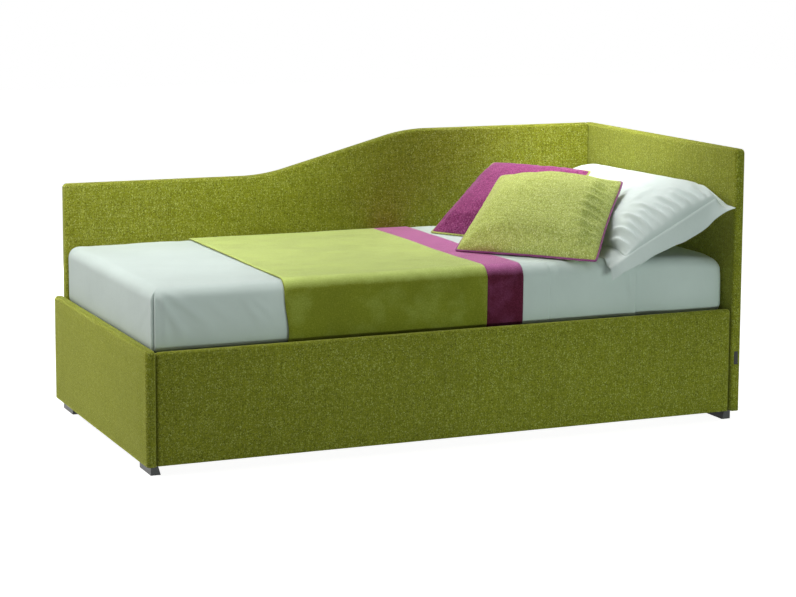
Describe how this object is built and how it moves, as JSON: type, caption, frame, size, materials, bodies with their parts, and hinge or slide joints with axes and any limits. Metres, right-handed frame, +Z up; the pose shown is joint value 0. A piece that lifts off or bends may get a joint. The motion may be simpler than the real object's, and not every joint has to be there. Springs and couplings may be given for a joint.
{
  "type": "upholstered single bed with storage drawer",
  "caption": "Upholstered single bed with a sloping back panel, a slatted base, a wide castor drawer under it and made-up bedding.",
  "frame": {"origin": "centre of the bounding box's bottom, on the floor under the middle of the bed", "axes": "+X along the bed towards the head panel, +Y from the drawer front towards the back panel, +Z up"},
  "size_m": [2, 1.04, 0.88],
  "materials": {
    "panel_board": "raw chipboard",
    "green_upholstery": "coarse speckled weave",
    "black_tab": "plain woven tab",
    "grey_steel": "satin",
    "zinc_steel": "zinc plated",
    "black_plastic": "matte",
    "beech_slats": "clear lacquer",
    "feet_plastic": "satin",
    "box_board": "melamine",
    "white_nylon": "smooth",
    "wheel_rubber": "matte",
    "mattress_ticking": "quilted ticking",
    "white_cotton": "smooth percale",
    "green_felt": "felted wool",
    "mauve_felt": "felted wool",
    "pillow_cotton": "smooth percale",
    "mauve_weave": "coarse weave",
    "green_piping": "corded piping",
    "green_weave": "coarse weave",
    "mauve_piping": "corded piping"
  },
  "bodies": {
    "bed_frame": {"foot_panel_board": "panel_board", "foot_panel_cover": "green_upholstery", "head_panel_board": "panel_board", "head_panel_cover": "green_upholstery", "back_panel_board": "panel_board", "back_panel_cover": "green_upholstery", "side_tab": "black_tab", "rear_bracket_foot": "grey_steel", "rear_bracket_head": "grey_steel", "front_bracket_foot": "grey_steel", "front_bracket_head": "grey_steel", "bracket_bolts": "zinc_steel", "insert_nuts": "zinc_steel", "base_tube_front": "grey_steel", "base_tube_rear": "grey_steel", "base_tube_foot": "grey_steel", "base_tube_head": "grey_steel", "base_cross_tube": "grey_steel", "slat_holders": "black_plastic", "slat_pair_1": "beech_slats", "slat_pair_2": "beech_slats", "slat_pair_3": "beech_slats", "slat_pair_4": "beech_slats", "slat_pair_5": "beech_slats", "slat_pair_6": "beech_slats", "slat_pair_7": "beech_slats", "foot_front_left": "feet_plastic", "foot_front_right": "feet_plastic", "foot_rear_left": "feet_plastic", "foot_rear_right": "feet_plastic", "panel_screws": "zinc_steel", "guide_rail_left": "zinc_steel", "guide_rail_right": "zinc_steel"},
    "drawer": {"drawer_front_board": "panel_board", "drawer_front_cover": "green_upholstery", "box_front_wall": "box_board", "box_back_wall": "box_board", "box_side_left": "box_board", "box_side_right": "box_board", "box_divider": "box_board", "box_bottom_left": "box_board", "box_bottom_right": "box_board", "castor_brackets": "zinc_steel", "castor_axles": "zinc_steel", "guide_runners": "white_nylon", "drawer_screws": "zinc_steel"},
    "castor_front_left": {"wheel_front_left": "wheel_rubber"},
    "castor_front_right": {"wheel_front_right": "wheel_rubber"},
    "castor_rear_left": {"wheel_rear_left": "wheel_rubber"},
    "castor_rear_right": {"wheel_rear_right": "wheel_rubber"},
    "bedding": {"mattress": "mattress_ticking", "fitted_sheet": "white_cotton", "top_sheet": "white_cotton", "throw": "green_felt", "throw_band": "mauve_felt", "pillow": "pillow_cotton", "rear_cushion": "mauve_weave", "rear_cushion_piping": "green_piping", "front_cushion": "green_weave", "front_cushion_piping": "mauve_piping"}
  },
  "joints": [
    {"name": "drawer_slide", "type": "slide", "parent": "bed_frame", "child": "drawer", "axis": [0, -1, 0], "range_m": [0, 0.7]},
    {"name": "mattress_lift", "type": "slide", "parent": "bed_frame", "child": "bedding", "axis": [0, 0, 1], "range_m": [0, 0.3]},
    {"name": "castor_front_left_roll", "type": "hinge", "parent": "drawer", "child": "castor_front_left", "pos_m": [-0.63848, -0.38, 0.025], "axis": [1, 0, 0], "range_deg": [-10, 1650]},
    {"name": "castor_front_right_roll", "type": "hinge", "parent": "drawer", "child": "castor_front_right", "pos_m": [0.63448, -0.38, 0.025], "axis": [1, 0, 0], "range_deg": [-10, 1650]},
    {"name": "castor_rear_left_roll", "type": "hinge", "parent": "drawer", "child": "castor_rear_left", "pos_m": [-0.63848, 0.28, 0.025], "axis": [1, 0, 0], "range_deg": [-10, 1650]},
    {"name": "castor_rear_right_roll", "type": "hinge", "parent": "drawer", "child": "castor_rear_right", "pos_m": [0.63448, 0.28, 0.025], "axis": [1, 0, 0], "range_deg": [-10, 1650]}
  ],
  "couplings": [
    {"joint": "castor_front_left_roll", "follows": "drawer_slide", "rad_per_m": 40},
    {"joint": "castor_front_right_roll", "follows": "drawer_slide", "rad_per_m": 40},
    {"joint": "castor_rear_left_roll", "follows": "drawer_slide", "rad_per_m": 40},
    {"joint": "castor_rear_right_roll", "follows": "drawer_slide", "rad_per_m": 40}
  ]
}
